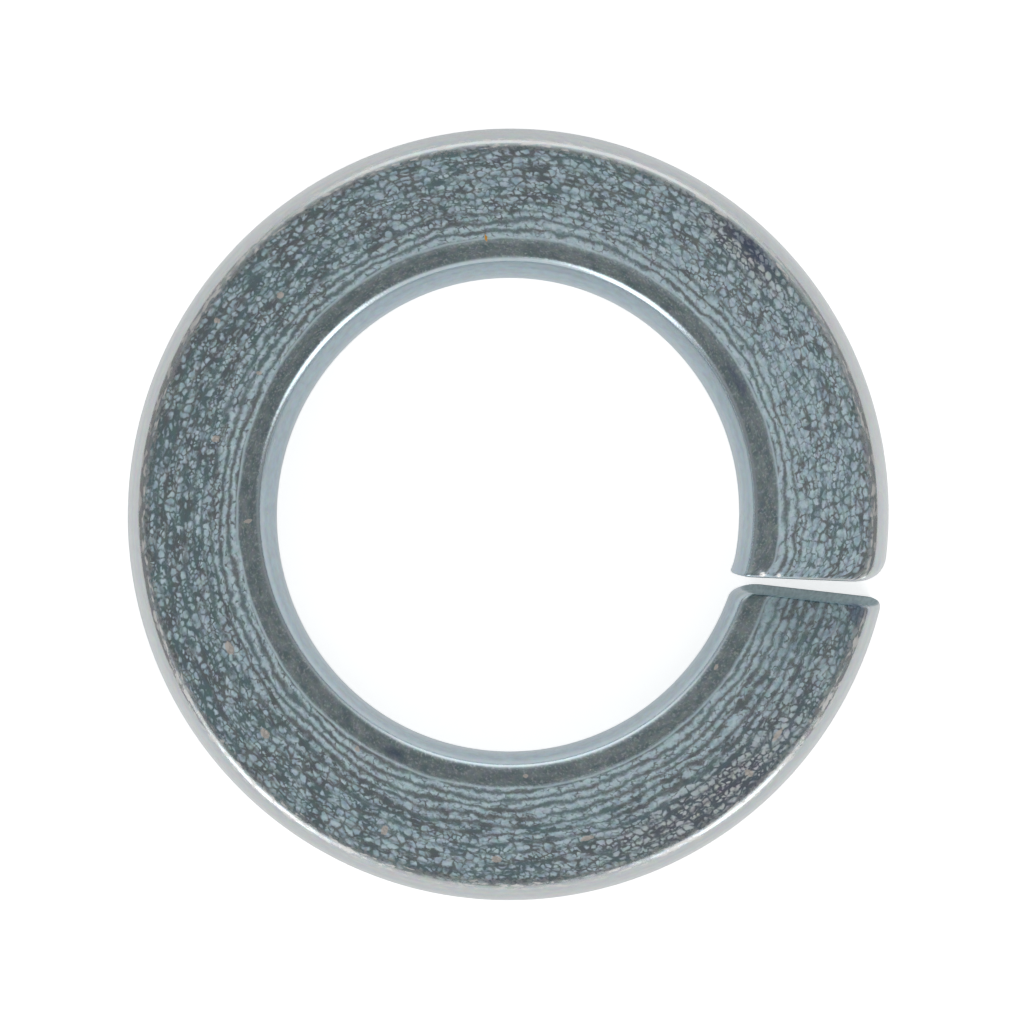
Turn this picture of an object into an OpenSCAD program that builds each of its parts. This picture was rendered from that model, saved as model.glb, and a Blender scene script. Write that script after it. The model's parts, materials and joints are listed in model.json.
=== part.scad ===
// Spring lock washer with plain ends: one turn of spring wire, coiled on edge and cut through.
// Z is the bore axis and the lowest point lies at z = 0. The slit is centred on +X.
// Seen from above the coil climbs clockwise, so the high end lies just past the slit.

/* [Ring] */
// Diameter of the bore
bore_d = 16.3; // [16.2:0.05:17]
// Radial width of the wire, from the bore to the outer side
band_w = 5.2; // [4.8:0.05:5.4]
// Mean thickness of the wire
band_t = 3.5; // [3.3:0.05:3.7]
// Height that the coil climbs from its low end to its high end
rise = 4; // [2.5:0.1:5]

/* [Wire section] */
// Distance that each side wall bulges out past its top and bottom edges
side_bulge = 0.45; // [0.3:0.05:0.6]
// Radius that rounds the four long edges
edge_r = 0.3; // [0.15:0.05:0.4]
// Depth that the coiling arbor has flattened off the bulge of the inner wall
arbor_flat = 0.12; // [0.08:0.01:0.15]
// Thickness that the inner edge has gained over the outer edge in coiling
upset = 0.1; // [0:0.02:0.2]

/* [Slit] */
// Opening between the two ends at the middle of the wire, seen from above
slit_gap = 0.31; // [0.2:0.01:1]
// Angle from the radius to the middle of the slit, seen from above
slit_skew = 9; // [0:1:15]
// Angle between the two end faces, which have sprung apart
slit_spread = 4.2; // [0:0.2:6]
// Angle between each end face and the bore axis, with the biting edge in front
cut_lean = 5.4; // [0:0.2:10]

/* [End corners] */
// Radius of the outer corner at the high end, seen from above
high_outer_r = 0.6; // [0.1:0.05:0.8]
// Distance that the shear has dragged the inner corner of the high end towards the bore
high_drag = 0.15; // [0:0.05:0.4]
// Length of the dragged corner along the wire
drag_l = 0.9; // [0.5:0.1:1.5]
// Radius of the inner corner at the low end, seen from above
low_inner_r = 0.5; // [0.1:0.05:0.8]
// Radius of the outer corner at the low end, seen from above
low_outer_r = 0.2; // [0.1:0.05:0.8]

/* [Hidden] */

bore_r = bore_d / 2;
mid_r = bore_r + band_w / 2;
half_w = band_w / 2;
half_t = band_t / 2;
margin = 1;

// Segments of a rounded edge, of a side wall and of the whole coil
edge_steps = 3;
side_steps = 6;
coil_steps = 96;
// Segments that round an end corner, and the length of wire that they take
corner_steps = 6;
corner_l = max(high_outer_r, drag_l, low_inner_r, low_outer_r);

// Half outline of the wire from the top edge round one side wall to the bottom edge.
// The side wall is an arc that bulges out to reach, and both its edges are rounded.
function half_outline(reach, bulge) =
    let (
        side_r = (half_t * half_t + bulge * bulge) / (2 * bulge),
        side_x = reach - side_r,
        edge_y = half_t - edge_r,
        edge_x = side_x + sqrt(pow(side_r - edge_r, 2) - pow(edge_y, 2)),
        meet = atan2(edge_y, edge_x - side_x),
        edge_arc = [for (i = [0:edge_steps])
            let (a = 90 + (meet - 90) * i / edge_steps)
            [edge_x + edge_r * cos(a), edge_y + edge_r * sin(a)]],
        side_arc = [for (i = [1:side_steps - 1])
            let (a = meet - 2 * meet * i / side_steps)
            [side_x + side_r * cos(a), side_r * sin(a)]]
    )
    concat(edge_arc, side_arc, [for (i = [edge_steps:-1:0]) [edge_arc[i][0], -edge_arc[i][1]]]);

// The wire is thickest at its inner edge, because coiling on edge upsets the metal there.
function thicken(p) = [p[0], p[1] * (1 - upset / band_t * p[0] / band_w)];

outer_half = half_outline(half_w, side_bulge);
inner_half = half_outline(half_w + arbor_flat, side_bulge + arbor_flat);
half_count = len(outer_half);
outline = [for (p = concat(outer_half, [for (i = [half_count - 1:-1:0]) [-inner_half[i][0], inner_half[i][1]]]))
    thicken(p)];
outline_count = len(outline);

// Angle at which a circle of a given radius meets an end face, whose trace on a level plane
// crosses the middle of the wire at an offset from the X axis and is turned from it.
function meet_angle(radius, offset, turn) =
    turn + asin((offset * cos(turn) - mid_r * sin(turn)) / radius);

// Angles at which the strand of wire through an outline point starts and ends.
function low_angle(p) =
    meet_angle(mid_r + p[0], -slit_gap / 2 - (half_t + p[1]) * tan(cut_lean), slit_skew - slit_spread / 2);
function high_angle(p) =
    meet_angle(mid_r + p[0], slit_gap / 2 + (half_t - p[1]) * tan(cut_lean), slit_skew + slit_spread / 2) - 360;

// Distance that a corner of a given radius sets a side wall in, near the end of the wire.
function corner_set(r, from_end) = from_end < r ? r - sqrt(r * r - pow(r - from_end, 2)) : 0;

// Outline of the wire near an end, with its inner and outer sides moved in towards its middle.
function squeezed(p, inner_set, outer_set) =
    [p[0] * (1 - (p[0] < 0 ? inner_set : outer_set) / half_w), p[1]];

// Each ring has its share of the coil from the low end, and the set of its two sides.
coil_l = 2 * PI * mid_r;
low_rings = [for (i = [0:corner_steps - 1])
    let (d = corner_l * pow(i / corner_steps, 2))
    [d / coil_l, corner_set(low_inner_r, d), corner_set(low_outer_r, d)]];
plain_rings = [for (i = [0:coil_steps])
    let (d = corner_l + (coil_l - 2 * corner_l) * i / coil_steps)
    [d / coil_l, 0, 0]];
high_rings = [for (i = [corner_steps - 1:-1:0])
    let (d = corner_l * pow(i / corner_steps, 2))
    [1 - d / coil_l, d < drag_l ? -high_drag * pow(1 - d / drag_l, 2) : 0, corner_set(high_outer_r, d)]];
rings = concat(low_rings, plain_rings, high_rings);
ring_count = len(rings);

// The coil climbs evenly with its angle, and its lowest corner is lifted to z = 0.
turn_start = low_angle([half_w, -half_t]);
turn_end = high_angle([half_w, half_t]);
function climb(angle) = rise * (turn_start - angle) / (turn_start - turn_end);
function strand_point(ring, p) =
    let (
        q = squeezed(p, ring[1], ring[2]),
        a = low_angle(q) + ring[0] * (high_angle(q) - low_angle(q))
    )
    [(mid_r + q[0]) * cos(a), (mid_r + q[0]) * sin(a), q[1] + climb(a)];
lift = -min([for (p = outline) strand_point(rings[0], p)[2]]);

// Wire of one turn, still with the full bulge of its inner wall.
module coiled_wire() {
    points = [for (ring = rings, p = outline) strand_point(ring, p)];
    sides = [for (i = [0:ring_count - 2], j = [0:outline_count - 1])
        let (
            a = i * outline_count + j,
            b = i * outline_count + (j + 1) % outline_count
        )
        each [[a, b, a + outline_count], [b, b + outline_count, a + outline_count]]];
    low_face = [for (i = [0:half_count - 2])
        let (across = outline_count - 1 - i)
        each [[i, across, i + 1], [i + 1, across, across - 1]]];
    last = (ring_count - 1) * outline_count;
    high_face = [for (f = low_face) [last + f[0], last + f[2], last + f[1]]];
    translate([0, 0, lift])
        polyhedron(points, concat(sides, low_face, high_face), convexity = 4);
}

module lock_washer() {
    color([0.62, 0.67, 0.68])
        difference() {
            coiled_wire();
            translate([0, 0, -margin])
                cylinder(h = band_t + rise + 2 * margin, d = bore_d, $fn = 180);
        }
}

lock_washer();
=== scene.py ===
# %% [markdown]
# A spring lock washer
#
# The real washer starts as a straight piece of spring wire. It is coiled on edge into one turn, cut
# through with a slanted shear, hardened, and then zinc plated. A section swept along a helix would
# give the ring quickly, but not its sheared ends or its marks. So the script makes a straight bar,
# marks and shears it while it is straight, and winds it into the ring. Work that would be awkward on
# a ring is easy on a bar, and every mark follows the coil as it does on the real part.

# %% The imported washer
import json
import math

import bmesh
import bpy
from mathutils import Euler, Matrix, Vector, noise


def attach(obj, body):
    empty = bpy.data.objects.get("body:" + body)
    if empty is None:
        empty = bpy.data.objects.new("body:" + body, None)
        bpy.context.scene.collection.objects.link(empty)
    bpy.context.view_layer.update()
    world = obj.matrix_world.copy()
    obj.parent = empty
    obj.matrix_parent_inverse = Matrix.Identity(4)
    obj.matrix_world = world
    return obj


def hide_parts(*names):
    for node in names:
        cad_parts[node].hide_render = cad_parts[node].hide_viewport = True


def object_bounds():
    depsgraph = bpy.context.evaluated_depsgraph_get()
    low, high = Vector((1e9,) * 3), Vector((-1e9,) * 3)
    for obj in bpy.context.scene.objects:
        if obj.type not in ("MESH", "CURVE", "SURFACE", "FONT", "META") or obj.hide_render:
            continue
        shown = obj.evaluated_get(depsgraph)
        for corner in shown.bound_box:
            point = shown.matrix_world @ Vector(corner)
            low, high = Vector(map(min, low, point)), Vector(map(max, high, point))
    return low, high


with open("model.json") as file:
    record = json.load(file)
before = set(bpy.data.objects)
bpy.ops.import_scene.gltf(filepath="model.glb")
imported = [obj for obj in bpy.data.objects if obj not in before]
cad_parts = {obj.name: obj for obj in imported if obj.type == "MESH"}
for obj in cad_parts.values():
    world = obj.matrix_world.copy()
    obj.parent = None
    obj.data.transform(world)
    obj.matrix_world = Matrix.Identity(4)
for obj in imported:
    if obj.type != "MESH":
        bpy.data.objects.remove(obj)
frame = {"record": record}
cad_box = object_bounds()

MM = 0.001
print("CAD box in mm:", [[round(x / MM, 2) for x in corner] for corner in cad_box])

# %% [markdown]
# The wire
#
# The section has a flat top and bottom and side walls that bulge, because the wire was rolled from
# round stock. It could be drawn as one long list of points, but four corners are enough: the side
# edges are subdivided and pushed out onto an arc, and a vertex bevel rounds the corners.

# %% Sizes of the wire, in mm
bore_r = frame["record"]["mounts"][0]["dims"]["r_mm"]
outer_r = (cad_box[1].y - cad_box[0].y) / 2 / MM
mid_r = (outer_r + bore_r) / 2
wire_w, wire_t = outer_r - bore_r, 3.5
half_w, half_t = wire_w / 2, wire_t / 2
coil_l = 2 * math.pi * mid_r
print(f"wire {wire_w:.2f} by {wire_t} mm, {coil_l:.1f} mm long")

# %% Section of the wire
side_bulge, edge_set = 0.45, 0.2
wall_cuts, flat_cuts, edge_segments = 9, 35, 5
hair = 0.001


def bulge_at(height):
    """How far a side wall stands out at a height above the middle of the wire."""
    radius = (half_t**2 + side_bulge**2) / (2 * side_bulge)
    return math.sqrt(radius**2 - height**2) - (radius - side_bulge)


bar = bmesh.new()
half_flat = half_w - side_bulge
places = [(-half_flat, half_t), (half_flat, half_t), (half_flat, -half_t), (-half_flat, -half_t)]
corners = [bar.verts.new((0, y, z)) for y, z in places]
sides = [bar.edges.new((corners[i - 1], corners[i])) for i in range(len(corners))]
walls = [e for e in sides if abs(e.verts[0].co.y - e.verts[1].co.y) < hair]
bmesh.ops.subdivide_edges(bar, edges=walls, cuts=wall_cuts)
for v in bar.verts:
    v.co.y += math.copysign(bulge_at(v.co.z), v.co.y)

# %% Rounded corners and points across the flats
bmesh.ops.contextual_create(bar, geom=bar.edges[:])
bmesh.ops.bevel(
    bar,
    geom=[v for v in bar.verts if abs(v.co.z) == half_t],
    offset=edge_set,
    affect="VERTICES",
    segments=edge_segments,
    profile=0.5,
    material=-1,
)
bmesh.ops.delete(bar, geom=bar.faces[:], context="FACES_ONLY")
flats = [e for e in bar.edges if e.calc_length() > half_flat]
bmesh.ops.subdivide_edges(bar, edges=flats, cuts=flat_cuts)
section = bmesh.ops.contextual_create(bar, geom=bar.edges[:])["faces"][0]
print("section points:", len(bar.verts))

# %% [markdown]
# The straight bar
#
# The section is drawn out along X in five stretches. The short ones at the ends get rings every few
# hundredths of a millimetre, because the shear marks there are small, and the long one between them
# gets a ring every tenth. Even rings all along would need four times as many faces.

# %% Stretches of the bar
near_end = [(0.3, 11), (1.0, 13)]
between_l = coil_l - 2 * sum(length for length, cuts in near_end)
between_cuts = 630
stretches = [*near_end, (between_l, between_cuts), *reversed(near_end)]


# %% Drawing the bar out
def draw_out(bar, face, length, cuts):
    """Extrudes an end face by a length, cuts the new edges into rings and returns the new end."""
    inside = len(face.edges[0].link_faces) > 1
    new = bmesh.ops.extrude_face_region(bar, geom=[face])["geom"]
    moved = [g for g in new if isinstance(g, bmesh.types.BMVert)]
    bmesh.ops.translate(bar, verts=moved, vec=(length, 0, 0))
    start = moved[0].co.x - length
    drawn = [e for v in moved for e in v.link_edges if abs(e.other_vert(v).co.x - start) < hair]
    bmesh.ops.subdivide_edges(bar, edges=drawn, cuts=cuts, use_grid_fill=True)
    if inside:
        bmesh.ops.delete(bar, geom=[face], context="FACES_ONLY")
    return next(g for g in new if isinstance(g, bmesh.types.BMFace))


end_face = section
for length, cuts in stretches:
    end_face = draw_out(bar, end_face, length, cuts)
print("bar:", len(bar.verts), "points,", len(bar.faces), "faces")

# %% [markdown]
# Places on the wire
#
# The place of each point on the straight bar, in millimetres, is kept as an attribute called wire.
# The material reads it later, so its rows and streaks run along the wire wherever it goes. Object
# coordinates would run them straight through the ring instead. The shear drags the skin of the high
# end sideways, so the kept place is shifted there and the finish looks smeared.


# %% Place on the wire
def fading(distance, reach):
    """1 at an end of the wire, and less and less up to a distance from it."""
    return max(0.0, 1 - distance / reach) ** 2


place = bar.verts.layers.float_vector.new("wire")
smear, smear_l = 0.3, 1.0
for v in bar.verts:
    v[place] = v.co + Vector((0, smear * fading(coil_l - v.co.x, smear_l), 0))

# %% [markdown]
# The surface
#
# Coiling leaves a smooth sunk band beside the bore, with a fine lip along it, and the rest of the
# flats is slightly lumpy. The walls carry drawing marks along the wire. These are real heights and
# not only a bump map, because they show in the outline of the highlights.

# %% Sizes of the relief, in mm
# The band's edge drifts over a stretch of the coil, given as shares of its length.
band_edge, band_drift = -1.37, 0.13
drift_from, drift_to = 0.25, 0.55
band_depth, band_step, band_rise = 0.03, 0.1, 0.05
lip_h, lip_w = 0.006, 0.06
flat_zone = (half_t - 0.16, half_t - 0.04)
dimple_h, dimple_size = 0.006, (0.34, 0.3)
swell_h, swell_size = 0.012, (1.6, 0.9)
drawn_h, drawn_l, drawn_w = 0.006, 9, 0.25
layers_apart, swell_layer = 7.0, 3


# %% Relief of the flats and walls
def smooth(low, high, x):
    """0 below low, 1 above high, and a smooth rise between them."""
    t = min(1.0, max(0.0, (x - low) / (high - low)))
    return t * t * (3 - 2 * t)


def lump(p, size, layer):
    """A noise from -1 to 1 with lumps of a size along and across the wire."""
    length, width = size
    return noise.noise(Vector((p.x / length, p.y / width, layer)))


def relief(p):
    """Height of the surface over its plain form at a place on the wire."""
    edge = band_edge + band_drift * smooth(drift_from, drift_to, p.x / coil_l)
    on_flat = smooth(*flat_zone, abs(p.z))
    rough = on_flat * smooth(edge - band_rise, edge + band_step, p.y)
    side = math.copysign(layers_apart, p.z)
    lumpy = dimple_h * lump(p, dimple_size, side) + swell_h * lump(p, swell_size, side + swell_layer)
    sunk = smooth(edge - band_step, edge, p.y) - 1
    lip = math.exp(-(((p.y - edge) / lip_w) ** 2))
    drawn = lump(p, (drawn_l, drawn_w), p.z / drawn_w)
    return rough * lumpy + on_flat * (band_depth * sunk + lip_h * lip) + (1 - on_flat) * drawn_h * drawn


# The normals of the flat end faces point along the wire, so only points with four faces move.
bar.normal_update()
skin = [v for v in bar.verts if len(v.link_faces) == 4]
for v in skin:
    v.co += v.normal * relief(v[place])
print("points of the skin that were raised or sunk:", len(skin))

# %% Inner edge pressed back
# Over the upper half of the coil the arbor has pressed the top of the inner wall back, and less so
# near the high end. The stretches are shares of the coil, and the edge lies across the wire in mm.
pressed, pressed_over = 0.19, (0.3, 0.5)
eased, eased_over = 0.5, (0.85, 0.97)
edge_over = (-2.0, -1.35)
for v in bar.verts:
    p = v[place]
    if p.z > 0 and p.y < 0:
        at_edge = 1 - smooth(*edge_over, p.y)
        share = p.x / coil_l
        depth = pressed * smooth(*pressed_over, share) * (1 - eased * smooth(*eased_over, share))
        v.co.y += depth * at_edge * (p.z / half_t) ** 2
print("inner edge pressed back by up to", pressed, "mm")

# %% [markdown]
# Nicks and stains
#
# Washers are tumbled and stored loose, so the plate has small nicks, a few blue stains, one speck of
# rust, and two patches at the outer side where tumbling rubbed the flecks grey. Their places were
# read in the top view, as an angle and a distance from the middle in the pixels of that view. Each
# is painted on the bar as a soft spot of a float attribute, which needs no picture and no UV map.

# %% From the top view to the wire
# The top view is turned by some degrees from the part's own frame.
view_turn = 13.4
px_per_mm = 28.75


def on_wire(angle, radius_px):
    """Place along and across the wire of a point of the top view, by its angle and radius there."""
    return (1 - (angle + view_turn) / 360) % 1 * coil_l, radius_px / px_per_mm - mid_r


# %% Spots on the top
spot_end = 6


def paint(name, marks):
    """Stores a soft spot at each angle and radius, of a length and a width in mm, as an attribute."""
    layer = bar.verts.layers.float.new(name)
    for angle, radius_px, length, width in marks:
        x, y = on_wire(angle, radius_px)
        for v in bar.verts:
            dx, dy = (v[place].x - x) / length, (v[place].y - y) / width
            if v[place].z > 0 and dx * dx + dy * dy < spot_end:
                v[layer] = max(v[layer], math.exp(-dx * dx - dy * dy))


# Each mark has its angle in degrees, its radius in pixels, and its length and width in mm.
NICKS = [
    (207, 310, 0.3, 0.14),
    (223, 327, 0.22, 0.16),
    (249.5, 337, 0.12, 0.2),
    (269, 342, 0.2, 0.12),
    (184.5, 260, 0.1, 0.25),
    (240, 277, 0.15, 0.1),
    (285, 330, 0.25, 0.1),
    (314, 351, 0.12, 0.2),
    (322, 346, 0.3, 0.1),
    (277.6, 258.5, 0.15, 0.08),
    (328, 257, 0.2, 0.08),
    (152, 288.5, 0.12, 0.1),
    (166.7, 305, 0.15, 0.15),
    (146, 351, 0.12, 0.12),
    (136.6, 317, 0.15, 0.12),
]
STAINS = [
    (248, 262, 0.7, 0.25),
    (31, 265, 1.1, 0.28),
    (345.5, 362, 0.5, 0.4),
    (45.5, 360, 1.3, 0.28),
]
RUST = [(96, 275, 0.06, 0.14)]
TUMBLED = [(308, 348, 3.4, 0.8), (46, 352, 1.6, 0.5)]
for name, marks in (("nick", NICKS), ("blue", STAINS), ("rust", RUST), ("tumbled", TUMBLED)):
    paint(name, marks)
    print(name, "spots:", len(marks))

# %% [markdown]
# The sheared ends
#
# The shear rounds the corners that it enters and drags the metal that it leaves, so no two corners
# are alike. A bevel modifier would round them all the same way, so each corner gets a radius of its
# own, and the dragged ones a spread that fades along the wire.

# %% Corners at the two ends
low_inner_r, low_outer_r, low_top_r = 0.5, 0.2, 0.08
high_inner_r, high_outer_r, high_top_r = 0.14, 0.6, 0.18
foot_r = 0.08
inner_drag, drag_l = 0.06, 0.9
foot_spread, spread_l, spread_power = 0.26, 0.7, 1.5


def corner_set(radius, from_end):
    """How far a rounded corner sets a wall in at a distance from the end of the wire."""
    left = min(radius, max(0.0, radius - from_end))
    return radius - math.sqrt(radius**2 - left**2)


for v in bar.verts:
    from_low, from_high = v.co.x, coil_l - v.co.x
    if v.co.y < 0:
        drag = inner_drag * fading(from_high, drag_l)
        near = corner_set(low_inner_r, from_low) + corner_set(high_inner_r, from_high) - drag
    else:
        below = max(0.0, -v.co.z / half_t)
        spread = foot_spread * below**spread_power * fading(from_low, spread_l)
        near = corner_set(low_outer_r, from_low) + corner_set(high_outer_r, from_high) - spread
    v.co.y *= 1 - near / half_w
    if v.co.z > 0:
        near = corner_set(low_top_r, from_low) + corner_set(high_top_r, from_high)
    else:
        near = corner_set(foot_r, from_low) + corner_set(foot_r, from_high)
    v.co.z *= 1 - near / half_t
extent = [max(v.co[i] for v in bar.verts) - min(v.co[i] for v in bar.verts) for i in range(3)]
print("sheared bar in mm:", [round(x, 2) for x in extent])

# %% Burrs on the rolled edge of the high end
# Each burr has its distance from the end, its place across the wire and its radius, in mm.
BURRS = [(0.16, -1.55, 0.12), (0.14, -0.99, 0.09)]
burr_rise = 0.45
# The burr attribute also marks where the plate gets a painted glint.
burr = bar.verts.layers.float.new("burr")
for from_end, y, burr_r in BURRS:
    for v in bar.verts:
        if v.co.z > 0:
            off = Vector((coil_l - from_end - v.co.x, y - v.co.y)) / burr_r
            v.co.z += burr_rise * burr_r * math.exp(-off.length_squared)
            v[burr] = max(v[burr], math.exp(-off.length_squared))
print("burrs:", len(BURRS))

# %% [markdown]
# Winding the coil
#
# Each strand of the wire starts and ends on a slanted cut face, so the angle that a strand covers
# depends on its radius and its height. Bending the bar with a curve modifier would leave the cut
# faces square to the wire, so each point is placed by its angle.

# %% The two cut faces
slit_gap, slit_skew, slit_spread = 0.31, math.radians(9), math.radians(4.2)
cut_lean = math.tan(math.radians(5.4))


def meet_angle(radius, offset, turn):
    """Angle at which a circle meets a cut, which is turned from the X axis and crosses it offset."""
    across = offset * math.cos(turn) - mid_r * math.sin(turn)
    return turn + math.asin(across / radius)


def low_angle(radius, z):
    """Angle at which the strand of a radius and a height starts."""
    return meet_angle(radius, -slit_gap / 2 - (half_t + z) * cut_lean, slit_skew - slit_spread / 2)


def high_angle(radius, z):
    """Angle at which the strand of a radius and a height ends, one turn on."""
    offset = slit_gap / 2 + (half_t - z) * cut_lean
    return meet_angle(radius, offset, slit_skew + slit_spread / 2) - 2 * math.pi


turn_start, turn_end = low_angle(outer_r, -half_t), high_angle(outer_r, half_t)
print("the outer side turns through", round(math.degrees(turn_start - turn_end), 1), "degrees")

# %% Out of round
# The ring springs back slightly oval, its low end flares, and its radius drifts along the coil.
oval, oval_turn = 0.09, math.radians(95)
flare, flare_from, flare_to = 0.09, 0.07, 0.25
drift, drift_mean, closing_from, closing_to = 0.09, 0.33, 0.2, 0.7


def spring_out(share, angle):
    """How far the ring has sprung out of round at a share of the coil from its low end."""
    at_low_end = 1 - smooth(flare_from, flare_to, share)
    along_coil = drift_mean - smooth(closing_from, closing_to, share)
    return oval * math.cos(2 * (angle - oval_turn)) + flare * at_low_end + drift * along_coil


# %% The wound wire
rise = 4.0


def wound(p):
    """Place on the ring of a point of the bar."""
    radius = mid_r + p.y
    share = p.x / coil_l
    low, high = low_angle(radius, p.z), high_angle(radius, p.z)
    angle = low + share * (high - low)
    height = p.z + half_t + rise * (turn_start - angle) / (turn_start - turn_end)
    radius += spring_out(share, angle)
    return Vector((radius * math.cos(angle), radius * math.sin(angle), height))


for v in bar.verts:
    v.co = wound(v.co) * MM
lowest = min(v.co.z for v in bar.verts)
bmesh.ops.translate(bar, verts=bar.verts, vec=(0, 0, -lowest))
bmesh.ops.recalc_face_normals(bar, faces=bar.faces)

# %% The washer's mesh
sharp_from = math.radians(50)
mesh = bpy.data.meshes.new("washer_wire")
bar.to_mesh(mesh)
bar.free()
mesh.shade_smooth()
mesh.set_sharp_from_angle(angle=sharp_from)
washer = bpy.data.objects.new("washer_wire", mesh)
bpy.context.collection.objects.link(washer)
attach(washer, "root")
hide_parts("lock_washer")
print("washer:", len(mesh.polygons), "faces, closed box", [round(x / MM, 2) for x in washer.dimensions])

# %% [markdown]
# Zinc plate
#
# The plating is a thin bright metal, flecked on the flats, plain in the sunk band and smooth on the
# walls. Separate materials would meet at hard borders along the faces' edges. So one material
# covers the whole washer, and masks made from the place on the wire blend one finish into the next.


# %% Short ways to add nodes
class Nodes:
    """The node tree of a material or a world."""

    def __init__(self, owner):
        owner.use_nodes = True
        self.tree = owner.node_tree

    def feed(self, socket, value):
        """Links a socket to an output, or sets it to a number, a vector or a colour."""
        if isinstance(value, bpy.types.NodeSocket):
            self.tree.links.new(value, socket)
        else:
            socket.default_value = (*value, 1) if socket.type == "RGBA" else value

    def add(self, kind, inputs=(), **settings):
        """Adds a node, sets its options, and feeds its inputs by name or number."""
        node = self.tree.nodes.new(kind)
        for name, value in settings.items():
            setattr(node, name, value)
        for name, value in dict(inputs).items():
            self.feed(node.inputs[name], value)
        return node

    def calc(self, operation, *numbers):
        """Result of a sum on one, two or three numbers."""
        return self.add("ShaderNodeMath", enumerate(numbers), operation=operation).outputs[0]

    def ramp(self, value, span, result=(0.0, 1.0)):
        """A smooth step from the first result to the second as a value crosses a span."""
        names = ("Value", "From Min", "From Max", "To Min", "To Max")
        sockets = dict(zip(names, (value, *span, *result)))
        return self.add("ShaderNodeMapRange", sockets, interpolation_type="SMOOTHSTEP").outputs[0]

    def fade(self, value, span):
        """A smooth step from 1 to 0 as a value crosses a span."""
        return self.ramp(value, span, (1.0, 0.0))

    def between(self, factor, a, b):
        """Mixes two numbers."""
        return self.add("ShaderNodeMix", {0: factor, 2: a, 3: b}).outputs[0]

    def blend(self, factor, a, b, blend_type="MIX"):
        """Mixes two colours."""
        sockets = {0: factor, 6: a, 7: b}
        return self.add("ShaderNodeMix", sockets, data_type="RGBA", blend_type=blend_type).outputs[2]


# %% Noises that follow the wire
plate = bpy.data.materials.new("zinc_plate")
zinc = Nodes(plate)
wire = zinc.add("ShaderNodeAttribute", attribute_name="wire").outputs["Vector"]
axes = zinc.add("ShaderNodeSeparateXYZ", {0: wire}).outputs
along, across, over_middle = axes["X"], axes["Y"], axes["Z"]


def scaled(vector, size):
    """A place in cells of a size in mm along, across and through the wire."""
    return zinc.add("ShaderNodeMapping", {"Vector": vector, "Scale": [1 / x for x in size]}).outputs[0]


def patches(size, detail=2.0, roughness=0.5, output="Fac"):
    """A noise from 0 to 1 with patches of a size in mm."""
    sockets = {"Vector": scaled(wire, size), "Scale": 1.0, "Detail": detail, "Roughness": roughness}
    return zinc.add("ShaderNodeTexNoise", sockets).outputs[output]


# %% Where each finish lies
# A span holds the two values between which a mask turns over. Here they are places in mm.
flat_span = (half_t - 0.04, half_t - 0.01)
rolled_span, cut_span = (0.06, 0.16), (0.0, 0.06)
wander_size, rim_wander = (1.2, 0.5, 0.5), 0.12
drift_span = (drift_from * coil_l, drift_to * coil_l)
rim_span = (band_edge - 0.02, band_edge + 0.12)
level = zinc.calc("ABSOLUTE", over_middle)
to_high_end = zinc.calc("SUBTRACT", coil_l, along)
to_end = zinc.calc("MINIMUM", along, to_high_end)
on_flat = zinc.calc("MULTIPLY", zinc.ramp(level, flat_span), zinc.ramp(to_high_end, rolled_span))
on_cut = zinc.fade(to_end, cut_span)
wander = patches(wander_size)
past_edge = zinc.calc("MULTIPLY_ADD", wander, rim_wander, across)
past_edge = zinc.calc("ADD", past_edge, zinc.ramp(along, drift_span, (0.0, -band_drift)))
flecked = zinc.calc("MULTIPLY", on_flat, zinc.ramp(past_edge, rim_span))

# %% [markdown]
# The flecks
#
# Pickling leaves the flats with pale matt flecks between dark cracks. In most places they are round
# like cobbles, and toward the bore they join into rows, which reach further out near the low end.
# Plain cells look too even and too angular. So cells of two sizes are bent by a noise, the distance
# from their middles rounds them, and a last fine noise roughens their edges.

# %% Stones and the gaps between them
# Sizes are in mm. A noise colour with 0.5 in each channel bends nothing.
bend_size, bend_reach, unbent = (0.35, 0.35, 0.35), (0.3, 0.25, 0.0), (0.5, 0.5, 0.5)
cobble_size, cobble_lift = (0.29, 0.24, 1.0), 0.26
pebble_size, pebble_lift = (0.17, 0.14, 1.0), 0.24
pebbly_size, pebbly_span = (0.8, 0.4, 1.0), (0.5, 0.6)
unevenness, rounding = 0.9, 0.6
bend = {0: patches(bend_size, output="Color"), 1: unbent}
bend = zinc.add("ShaderNodeVectorMath", bend, operation="SUBTRACT").outputs[0]
bent = {0: bend, 1: bend_reach, 2: wire}
bent = zinc.add("ShaderNodeVectorMath", bent, operation="MULTIPLY_ADD").outputs[0]


def cells(vector, feature):
    """Distance from the middle or the edge of irregular cells."""
    sockets = {"Vector": vector, "Scale": 1.0, "Randomness": unevenness}
    node = zinc.add("ShaderNodeTexVoronoi", sockets, feature=feature, voronoi_dimensions="2D")
    return node.outputs["Distance"]


def stones(size, lift):
    """Height of rounded stones of a size in mm over the gaps between them."""
    spot = scaled(bent, size)
    rounded = zinc.calc("MULTIPLY_ADD", cells(spot, "F1"), -rounding, cells(spot, "DISTANCE_TO_EDGE"))
    return zinc.calc("ADD", rounded, lift)


cobbles, pebbles = stones(cobble_size, cobble_lift), stones(pebble_size, pebble_lift)
pebbly = zinc.ramp(patches(pebbly_size), pebbly_span)
stone = zinc.between(pebbly, cobbles, pebbles)

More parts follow.
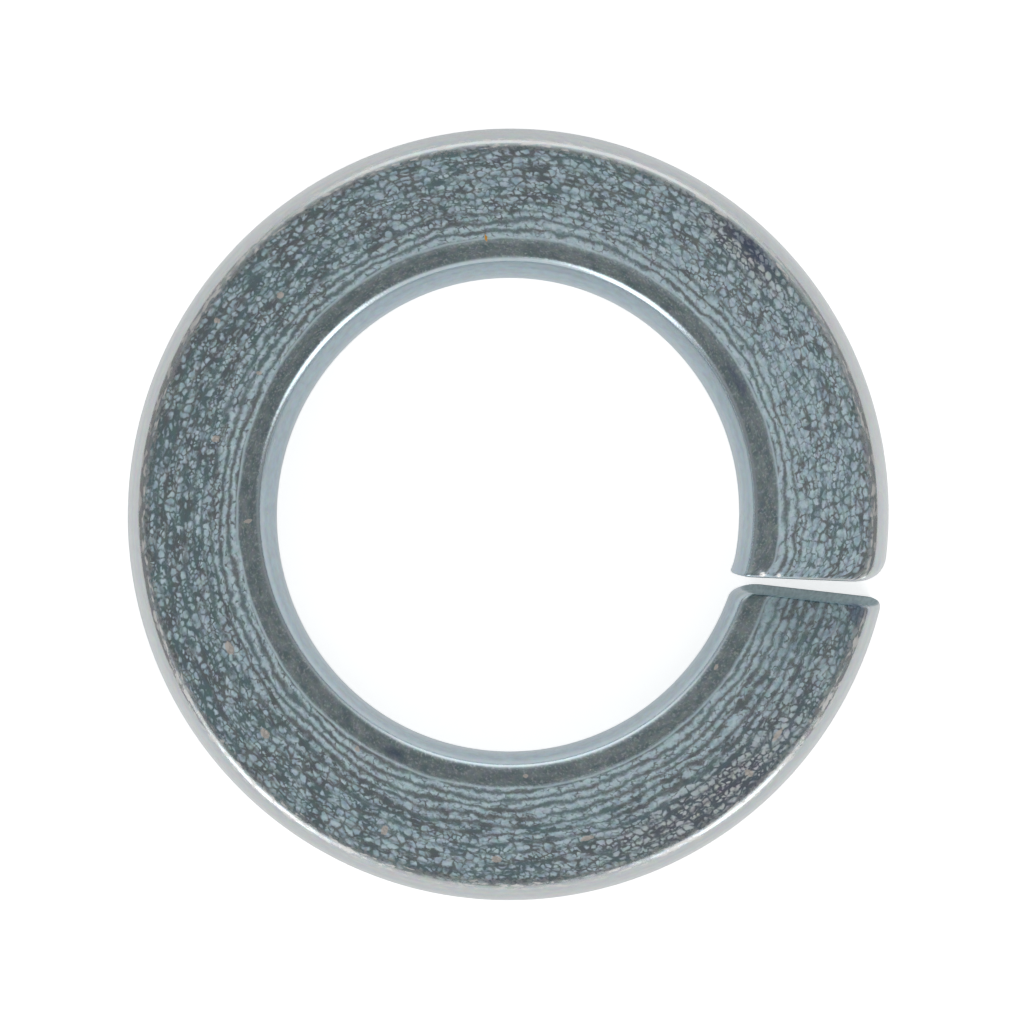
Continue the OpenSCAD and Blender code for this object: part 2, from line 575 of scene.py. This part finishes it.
# %% Rows along the wire
# The rows are numbered across the wire, with a gap at each whole number.
row_pitch, row_sway, sway_size, half_row = 0.32, 2.0, (2.6, 0.9, 1.0), 0.5
row_lift, row_cut, joined_lift = 0.03, 0.12, 0.1
inner_wander, inner_span = 1.6, (-0.1, 0.9)
longest_reach, reach_span = 1.2, (0.15 * coil_l, 0.5 * coil_l)
bent_across = zinc.add("ShaderNodeSeparateXYZ", {0: bent}).outputs["Y"]
row_number = zinc.calc("DIVIDE", bent_across, row_pitch)
row_number = zinc.calc("MULTIPLY_ADD", patches(sway_size), row_sway, row_number)
row = zinc.calc("ADD", zinc.calc("PINGPONG", row_number, half_row), row_lift)
inward = zinc.calc("MULTIPLY_ADD", wander, inner_wander, across)
joined = zinc.fade(inward, inner_span)
row_reach = zinc.ramp(along, reach_span, (longest_reach, 0.0))
in_rows = zinc.fade(zinc.calc("SUBTRACT", inward, row_reach), inner_span)
row = zinc.calc("MULTIPLY_ADD", in_rows, -row_cut, row)
stone = zinc.calc("MULTIPLY_ADD", in_rows, row_cut, stone)
stone = zinc.calc("MULTIPLY_ADD", joined, joined_lift, stone)
lump_h = zinc.calc("MINIMUM", stone, row)

# %% Width of the cracks
# It is patchy. It grows at the outer side, on the far side from the slit and where the washer was
# tumbled hardest, and shrinks toward the high end and where the flecks join.
crack_size, crack_span, crack_range = (0.6, 0.4, 1.0), (0.34, 0.62), (0.19, -0.08)
high_span, high_more = (0.7 * coil_l, 0.9 * coil_l), -0.04
outer_span, outer_more = (1.5, 2.1), 0.1
far_at, far_span, far_more = 31.0, (7.0, 17.0), 0.06
joined_less, tumbled_more = 0.6, 0.08


def painted(name):
    """Value of a painted attribute."""
    return zinc.add("ShaderNodeAttribute", attribute_name=name).outputs["Fac"]


from_far = zinc.calc("ABSOLUTE", zinc.calc("SUBTRACT", along, far_at))
crack = zinc.ramp(patches(crack_size, detail=4.0, roughness=0.7), crack_span, crack_range)
crack = zinc.calc("ADD", crack, zinc.ramp(along, high_span, (0.0, high_more)))
crack = zinc.calc("ADD", crack, zinc.ramp(across, outer_span, (0.0, outer_more)))
crack = zinc.calc("ADD", crack, zinc.ramp(from_far, far_span, (far_more, 0.0)))
crack = zinc.calc("MULTIPLY", crack, zinc.calc("MULTIPLY_ADD", joined, -joined_less, 1.0))
tumbled = painted("tumbled")
crack = zinc.calc("MULTIPLY_ADD", tumbled, tumbled_more, crack)

# %% Flecks, and the lip of the sunk band painted pale as a highlight
ragged_size, ragged_h, fleck_span = (0.09, 0.08, 0.1), 0.34, (0.08, 0.49)
# The lip is turned into a pale fleck, a painted highlight for the bright line along it.
lip_at, lip_span, lip_highlight_fleck = band_edge + 0.09, (0.02, 0.08), 0.8
ragged = patches(ragged_size, detail=1.0)
lumpy = zinc.calc("MULTIPLY_ADD", ragged, ragged_h, zinc.calc("SUBTRACT", lump_h, crack))
from_lip = zinc.calc("ABSOLUTE", zinc.calc("SUBTRACT", past_edge, lip_at))
lip_highlight_mask = zinc.ramp(from_lip, lip_span, (lip_highlight_fleck, 0.0))
fleck = zinc.calc("MAXIMUM", zinc.ramp(lumpy, fleck_span), lip_highlight_mask)
print("nodes of the flecks:", len(zinc.tree.nodes))

# %% [markdown]
# The colours
#
# Zinc is a bluish metal. Where the plate is thin its cracks look teal or brown, or indigo where it
# was tumbled hardest. The flecks are pale blue grey, the walls are lighter, and the sheared faces are
# darker. The sunk band is painted darker, a painted reflection of the dark ceiling. The lip, the top
# of the inner wall and the burrs carry painted highlights, and the worn border of the flats is partly
# a painted reflection. A picture would fix these colours to one view. Blends of a few plain colours
# by the masks and noises cover the unseen sides too.

# %% Between the flecks
TEAL, THIN_TEAL = (0.235, 0.31, 0.33), (0.17, 0.245, 0.262)
BROWN, THIN_BROWN = (0.235, 0.265, 0.275), (0.175, 0.205, 0.22)
INDIGO = (0.15, 0.165, 0.205)
thin_span, brown_span, tumbled_share = (0.0, 0.2), (0.42, 0.58), 0.8
thin = zinc.ramp(crack, thin_span)
tumbled_look = zinc.calc("MULTIPLY", tumbled, tumbled_share)
teal, brown = zinc.blend(thin, TEAL, THIN_TEAL), zinc.blend(thin, BROWN, THIN_BROWN)
dark = zinc.blend(zinc.ramp(wander, brown_span), teal, brown)
dark = zinc.blend(tumbled_look, dark, INDIGO)

# %% Flecks
DULL, BRIGHT, JOINED_AND_LIP_HIGHLIGHT = (0.32, 0.435, 0.495), (0.53, 0.645, 0.705), (0.54, 0.66, 0.70)
RUBBED_GREY = (0.57, 0.58, 0.57)
sheen_size, sheen_span = (0.3, 0.2, 0.3), (0.3, 0.7)
# The lip is painted paler still, a painted highlight; the joined rows are paler in their own right.
joined_lit, lip_highlight_share = 0.45, 0.7
sheen = zinc.ramp(patches(sheen_size, detail=3.0, roughness=0.6), sheen_span)
lip_highlight = zinc.ramp(from_lip, lip_span, (lip_highlight_share, 0.0))
joined_and_lip_highlight = zinc.calc("MAXIMUM", zinc.calc("MULTIPLY", joined, joined_lit), lip_highlight)
pale = zinc.blend(joined_and_lip_highlight, zinc.blend(sheen, DULL, BRIGHT), JOINED_AND_LIP_HIGHLIGHT)
pale = zinc.blend(tumbled_look, pale, RUBBED_GREY)

# %% Worn border of the flats, partly a painted reflection of the rounded edge
# The ragged border strip is partly wear and partly a painted reflection where the flat starts to round
# over.
WORN_AND_REFLECTION = (0.335, 0.365, 0.375)
border_rough, border_span, worn_and_reflection_share = 0.7, (2.15, 2.32), 0.85
past_border = zinc.calc("MULTIPLY_ADD", ragged, border_rough, across)
worn_and_reflection = zinc.calc("MULTIPLY", zinc.ramp(past_border, border_span), worn_and_reflection_share)
flat_colour = zinc.blend(worn_and_reflection, zinc.blend(fleck, dark, pale), WORN_AND_REFLECTION)

# %% Walls, with a painted highlight along the top of the inner wall
DRAWN_BLUE, DRAWN_GREY, BLOTCH = (0.33, 0.41, 0.46), (0.41, 0.47, 0.50), (0.41, 0.52, 0.58)
INNER_EDGE_HIGHLIGHT, RIM, RIM_LIGHT = (0.54, 0.62, 0.66), (0.435, 0.475, 0.49), (0.49, 0.51, 0.515)
streak_size, streak_span = (8.0, 0.3, 0.3), (0.3, 0.7)
blotch_size, blotch_span, blotch_share = (0.5, 0.3, 0.25), (0.35, 0.65), 0.6
edge_highlight_span, edge_highlight_share = (half_t - 0.4, half_t - 0.12), 0.7
outside_span = (-0.1, 0.1)
streaks = zinc.ramp(patches(streak_size, detail=3.0), streak_span)
blotches = zinc.ramp(patches(blotch_size, detail=3.0, roughness=0.6), blotch_span)
bore_colour = zinc.blend(streaks, DRAWN_BLUE, DRAWN_GREY)
bore_colour = zinc.blend(zinc.calc("MULTIPLY", blotches, blotch_share), bore_colour, BLOTCH)
# The top of the inner wall is painted paler, a painted highlight for the crease highlights round the
# bore.
inner_edge_highlight = zinc.calc("MULTIPLY", zinc.ramp(level, edge_highlight_span), edge_highlight_share)
bore_colour = zinc.blend(inner_edge_highlight, bore_colour, INNER_EDGE_HIGHLIGHT)
rim_colour = zinc.blend(streaks, RIM, RIM_LIGHT)
wall_colour = zinc.blend(zinc.ramp(across, outside_span), bore_colour, rim_colour)

# %% Sunk band, painted darker as shade
# The band's dark colour is a painted reflection of the dark ceiling; its smears and specks are the
# plate's own.
SHADED_BAND, BAND_SMEAR, BAND_SPECK = (0.16, 0.215, 0.23), (0.28, 0.325, 0.34), (0.42, 0.47, 0.485)
smear_size, smear_span = (0.5, 0.25, 0.5), (0.3, 0.7)
speck_span, speck_share = (0.5, 0.75), 0.7
smears = zinc.ramp(patches(smear_size, detail=4.0, roughness=0.6), smear_span)
specks = zinc.ramp(ragged, speck_span, (0.0, speck_share))
shaded_band_colour = zinc.blend(specks, zinc.blend(smears, SHADED_BAND, BAND_SMEAR), BAND_SPECK)

# %% Cut faces
# The blade enters a cut face at one edge, and the metal tears near the other, which is darker. That
# is the lower edge at the low end and the upper edge at the high end.
SHEARED, SHEARED_LIGHT, TORN = (0.14, 0.215, 0.235), (0.23, 0.32, 0.345), (0.10, 0.15, 0.165)
score_size, score_span = (1.0, 0.1, 1.5), (0.3, 0.7)
torn_span, torn_share, torn_rough = (-1.4, -0.9), 0.7, 0.5
turn_over_span = (10.0, 20.0)
scores = zinc.ramp(patches(score_size, detail=3.0), score_span)
from_blade = zinc.calc("MULTIPLY", over_middle, zinc.ramp(along, turn_over_span, (1.0, -1.0)))
from_blade = zinc.calc("MULTIPLY_ADD", scores, torn_rough, from_blade)
torn = zinc.ramp(from_blade, torn_span, (torn_share, 0.0))
cut_colour = zinc.blend(torn, zinc.blend(scores, SHEARED, SHEARED_LIGHT), TORN)

# %% One colour for the whole washer
tint_size, tint_share = (0.25, 0.2, 0.25), 0.14
tint = patches(tint_size, detail=1.0, output="Color")
colour = zinc.blend(on_flat, wall_colour, shaded_band_colour)
colour = zinc.blend(flecked, colour, flat_colour)
colour = zinc.blend(on_cut, colour, cut_colour)
colour = zinc.blend(tint_share, colour, tint, "OVERLAY")

# %% [markdown]
# Wear
#
# Tumbling rubs the plate pale along the outer edges, and the nicks, stains and rust lie over all of
# it. The soft spots that were painted on the bar would look airbrushed, so a fine grain is added to
# them before they are cut off into masks. Last, the burrs get a painted glint.

# %% Outer edges, rubbed pale
RUBBED_PALE = (0.56, 0.56, 0.55)
rub_size, rub_span, rub_at_edge = (0.35, 0.1, 0.2), (0.70, 0.82), 0.2
near_top_span, near_rim_span = (half_t - 0.3, half_t - 0.14), (1.8, 2.05)
near_edge = zinc.calc("MULTIPLY", zinc.ramp(level, near_top_span), zinc.ramp(across, near_rim_span))
rubbing = zinc.calc("MULTIPLY_ADD", near_edge, rub_at_edge, patches(rub_size, detail=3.0))
rubbed = zinc.ramp(rubbing, rub_span)
colour = zinc.blend(rubbed, colour, RUBBED_PALE)

# %% Nicks, blue stains, rust and painted glints on the burrs
BLUE, NICK = (0.05, 0.07, 0.16), (0.55, 0.52, 0.49)
RUSTED, BURR_GLINT = (0.60, 0.30, 0.07), (0.95, 0.95, 0.94)
blue_span, nick_span, rust_span, burr_glint_span = (0.5, 1.2), (0.62, 0.8), (0.55, 0.8), (0.3, 0.7)
blue_share, grain_size, grain_share = 0.5, (0.1, 0.1, 0.1), 0.5
grain = patches(grain_size)


def marked(name, span):
    """Ragged mask of a painted attribute."""
    return zinc.ramp(zinc.calc("MULTIPLY_ADD", grain, grain_share, painted(name)), span)


blue = zinc.calc("MULTIPLY", marked("blue", blue_span), blue_share)
colour = zinc.blend(blue, colour, BLUE)
colour = zinc.blend(marked("nick", nick_span), colour, NICK)
colour = zinc.blend(marked("rust", rust_span), colour, RUSTED)
# The burrs are painted near white, a painted glint.
colour = zinc.blend(zinc.ramp(painted("burr"), burr_glint_span), colour, BURR_GLINT)

# %% [markdown]
# Shine
#
# The plate is all metal, so its roughness decides how clearly it mirrors the room: least on the
# walls and the cracks, most on the flecks, the rubbed edges and the cut faces. The grain is too fine
# for the mesh, so it is a bump.

# %% Shine and grain
# Each roughness goes from 0 for a mirror to 1 for chalk.
wall_rough, flat_rough, matt_rough = 0.24, 0.26, 0.5
grain_h = 0.003 * MM
shiny = zinc.between(on_flat, wall_rough, flat_rough)
matt = zinc.calc("MAXIMUM", zinc.calc("MULTIPLY", flecked, fleck), rubbed)
matt = zinc.calc("MAXIMUM", matt, on_cut)
bump = zinc.add("ShaderNodeBump", {"Height": grain, "Strength": 1.0, "Distance": grain_h})
metal = zinc.tree.nodes["Principled BSDF"].inputs
zinc.feed(metal["Base Color"], colour)
zinc.feed(metal["Metallic"], 1.0)
zinc.feed(metal["Roughness"], zinc.between(matt, shiny, matt_rough))
zinc.feed(metal["Normal"], bump.outputs[0])
mesh.materials.append(plate)
print("nodes of the plate:", len(zinc.tree.nodes))

# %% [markdown]
# The studio
#
# The washer lies on white paper in a pale room. Metal shows what it mirrors: seen from above, its
# walls mirror the paper, its flats the ceiling and its rounded edges the horizon and the lamps. More
# light on white paper would wash the metal out. So the paper is a plain white that glows a little
# for the camera, and a little less for what the metal mirrors.

# %% Paper
paper_white, paper_rough = 0.8, 0.9
glow_seen, glow_mirrored = 0.6, 0.3
paper = bpy.data.materials.new("white_paper")
sheet = Nodes(paper)
rays = sheet.add("ShaderNodeLightPath").outputs
mirrored = sheet.calc("ADD", rays["Is Glossy Ray"], rays["Is Transmission Ray"])
seen = sheet.calc("MULTIPLY", rays["Is Camera Ray"], glow_seen)
surface = sheet.tree.nodes["Principled BSDF"].inputs
sheet.feed(surface["Base Color"], (paper_white, paper_white, paper_white))
sheet.feed(surface["Roughness"], paper_rough)
sheet.feed(surface["Specular IOR Level"], 0.0)
sheet.feed(surface["Emission Color"], (1, 1, 1))
sheet.feed(surface["Emission Strength"], sheet.calc("MULTIPLY_ADD", mirrored, glow_mirrored, seen))

# %% Floor
floor_r, floor_sides = 1.5, 64
floor_mesh = bpy.data.meshes.new("floor")
disc = bmesh.new()
bmesh.ops.create_circle(disc, cap_ends=True, segments=floor_sides, radius=floor_r)
disc.to_mesh(floor_mesh)
disc.free()
floor_mesh.materials.append(paper)
floor = bpy.data.objects.new("floor", floor_mesh)
bpy.context.collection.objects.link(floor)
print("floor:", 2 * floor_r, "m wide")

# %% Room
# The ceiling is dark round the camera, the far horizon is bright and the sides are dim. Each span
# holds two shares of agreement with a direction, and each light the strengths there.
world = bpy.data.worlds.new("room")
bpy.context.scene.world = world
room = Nodes(world)
toward_sky = room.add("ShaderNodeTexCoord").outputs["Generated"]


def share_toward(x, y, z):
    """How far a direction of the room agrees with one that is given in the camera's frame."""
    aimed = Vector((x, y, z))
    aimed.rotate(Euler((0, 0, math.radians(view_turn))))
    agreement = room.add("ShaderNodeVectorMath", {0: toward_sky, 1: aimed}, operation="DOT_PRODUCT")
    return agreement.outputs["Value"]


corner_y, corner_z = -0.26, 0.966
overhead_span, overhead_light = (0.6, 0.97), (0.92, 0.46)
behind_span, behind_light = (0.2, 0.9), (1.0, 1.65)
beside_span, beside_light = (0.35, 0.8), (1.0, 0.38)
overhead = room.ramp(share_toward(0, corner_y, corner_z), overhead_span, overhead_light)
behind = room.ramp(share_toward(0, 1, 0), behind_span, behind_light)
beside = room.ramp(room.calc("ABSOLUTE", share_toward(1, 0, 0)), beside_span, beside_light)
strength = room.calc("MULTIPLY", overhead, room.calc("MULTIPLY", behind, beside))
walls_of_room = room.tree.nodes["Background"].inputs
room.feed(walls_of_room["Color"], (1, 1, 1))
room.feed(walls_of_room["Strength"], strength)
print("nodes of the room:", len(room.tree.nodes))

# %% Lamps
# Sizes are in metres and the power in watts.
lamp_w, lamp_h, lamp_power = 0.15, 0.41, 0.45
lamp_distance, lamp_elevation = 0.4, math.radians(30)


def lamp(name, azimuth):
    """Adds a tall soft lamp that looks at the washer from an azimuth in the camera's frame."""
    light = bpy.data.lights.new(name, "AREA")
    light.shape = "RECTANGLE"
    light.size, light.size_y = lamp_w, lamp_h
    light.energy = lamp_power
    ob = bpy.data.objects.new(name, light)
    bpy.context.collection.objects.link(ob)
    bearing, out = math.radians(azimuth + view_turn), math.cos(lamp_elevation)
    toward = Vector((math.cos(bearing) * out, math.sin(bearing) * out, math.sin(lamp_elevation)))
    ob.location = toward * lamp_distance
    ob.rotation_euler = toward.to_track_quat("Z", "Y").to_euler()


lamp("lamp_right", azimuth=-48)
lamp("lamp_left", azimuth=-128)
print("lamps:", len(bpy.data.lights))

# %% [markdown]
# The camera
#
# The catalogue view looks straight down the bore. A camera close above would show more of the bore
# wall than that view does, so this one hangs high with a long lens, turned so that the slit lies
# where it does there.

# %% Camera
# The height is in metres and the lens in mm. The washer lies a few pixels off the picture's middle.
view_height, lens, clip_start = 0.8, 805, 0.01
off_middle_px = Vector((3.7, 1.5, 0))
turn = Euler((0, 0, math.radians(view_turn)))
aim = off_middle_px / px_per_mm * MM
aim.rotate(turn)
camera = bpy.data.objects.new("camera", bpy.data.cameras.new("camera"))
bpy.context.collection.objects.link(camera)
camera.location = (aim.x, aim.y, view_height)
camera.rotation_euler = turn
camera.data.lens = lens
camera.data.clip_start = clip_start
bpy.context.scene.camera = camera
bpy.context.scene.view_settings.view_transform = "Standard"
print("camera at", [round(x, 4) for x in camera.location], "with a lens of", lens, "mm")
